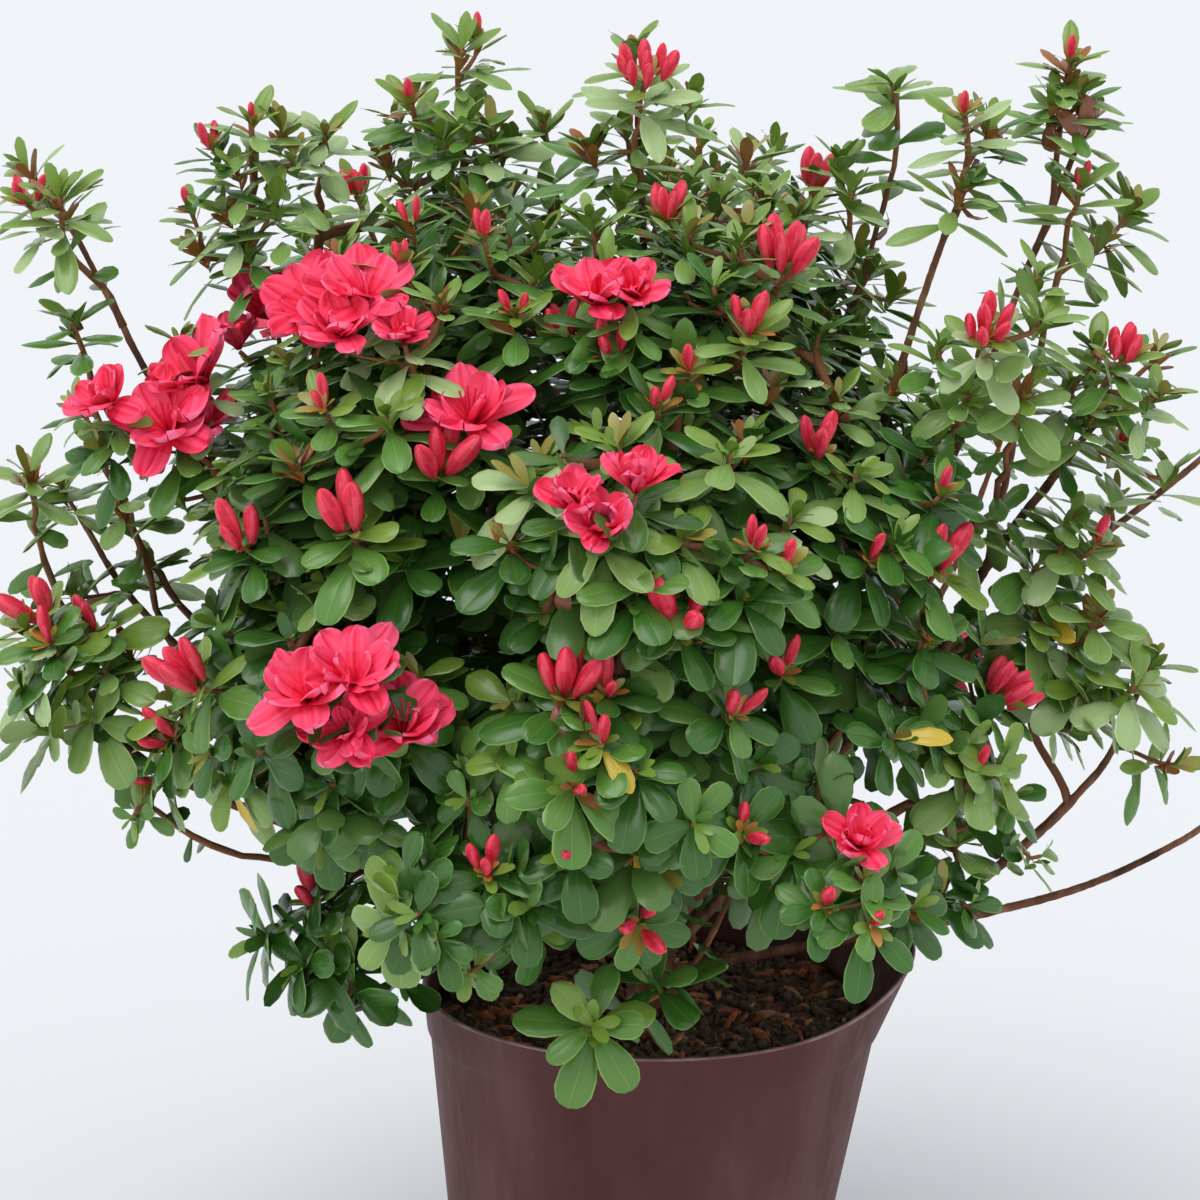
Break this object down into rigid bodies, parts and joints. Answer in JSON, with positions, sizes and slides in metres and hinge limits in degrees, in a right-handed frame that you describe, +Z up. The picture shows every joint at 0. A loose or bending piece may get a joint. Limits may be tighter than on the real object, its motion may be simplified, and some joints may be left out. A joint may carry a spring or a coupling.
{
  "type": "potted azalea shrub",
  "caption": "Small evergreen azalea with pink-red blossom: a short stem, slender boughs and clumps of foliage, standing in a round tapered plastic pot of compost.",
  "frame": {"origin": "centre of the pot's flat underside", "axes": "+Z up along the plant; -Y towards the side seen in the picture, +X to its right"},
  "size_m": [0.533, 0.4097, 0.5358],
  "materials": {
    "plastic": "satin mauve-brown, lightly scratched and dusty",
    "compost": "moist dark compost with red-brown bark chips",
    "bark": "matte red-brown bark",
    "foliage": "glossy dark green leaves with lighter young ones",
    "blossom": "soft pink-red petals and buds"
  },
  "bodies": {
    "root": {"pot": "plastic", "compost": "compost", "bough_back": "bark", "bough_back_left": "bark", "bough_back_right": "bark", "bough_far_left": "bark", "bough_far_right": "bark", "bough_left_side": "bark", "bough_left_upper": "bark", "bough_middle": "bark", "bough_right": "bark", "bough_right_bare": "bark", "bough_right_low": "bark", "bough_right_side": "bark", "bough_right_trailing": "bark", "stem": "bark", "mass_shoulder_1": "foliage", "mass_shoulder_2": "foliage", "mass_shoulder_3": "foliage", "mass_shoulder_4": "foliage", "mass_shoulder_5": "foliage", "mass_shoulder_6": "foliage", "mass_shoulder_7": "foliage", "mass_side_1": "foliage", "mass_side_2": "foliage", "mass_side_3": "foliage", "mass_side_4": "foliage", "mass_side_5": "foliage", "mass_side_6": "foliage", "mass_side_7": "foliage", "mass_skirt_back": "foliage", "mass_skirt_front": "foliage", "mass_skirt_front_left": "foliage", "mass_skirt_front_right": "foliage", "mass_skirt_left": "foliage", "mass_skirt_right": "foliage", "mass_top_1": "foliage", "mass_top_2": "foliage", "mass_top_3": "foliage", "mass_top_4": "foliage", "tip_back": "foliage", "tip_back_left": "foliage", "tip_back_right": "foliage", "tip_far_left": "foliage", "tip_far_right": "foliage", "tip_left": "foliage", "tip_left_shoulder": "foliage", "tip_left_side": "foliage", "tip_left_tall": "foliage", "tip_left_upper": "foliage", "tip_middle": "foliage", "tip_right": "foliage", "tip_right_bare": "foliage", "tip_right_inner": "foliage", "tip_right_low": "foliage", "tip_right_middle": "foliage", "tip_right_side": "foliage", "tip_right_tall": "foliage", "tip_right_trailing": "foliage"}
  },
  "joints": []
}
